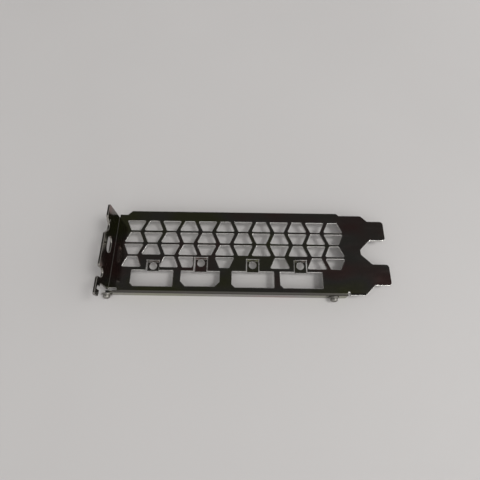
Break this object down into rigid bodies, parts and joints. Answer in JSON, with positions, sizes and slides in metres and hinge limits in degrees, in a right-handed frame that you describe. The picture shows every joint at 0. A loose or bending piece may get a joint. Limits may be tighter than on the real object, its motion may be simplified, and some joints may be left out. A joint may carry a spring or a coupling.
{
  "type": "double-slot expansion card bracket",
  "caption": "Folded plated sheet bracket for a double-slot card, with a vent grille, port openings, screw pads, locating tongues, a slotted mounting flange and a board flange with its screws.",
  "frame": {"origin": "centre of the closed screw slot, on the face of the mounting flange that sits on the case", "axes": "+X from the mounting flange to the tongues, +Y across the two slots and away from the board flange, +Z out of the plate's outer face"},
  "size_m": [0.1228, 0.0419, 0.018],
  "materials": {
    "plated_sheet": "dark mirror-bright nickel plate",
    "screw_steel": "plain grey plated steel"
  },
  "bodies": {
    "root": {"bracket": "plated_sheet", "board_screws": "screw_steel"}
  },
  "joints": []
}
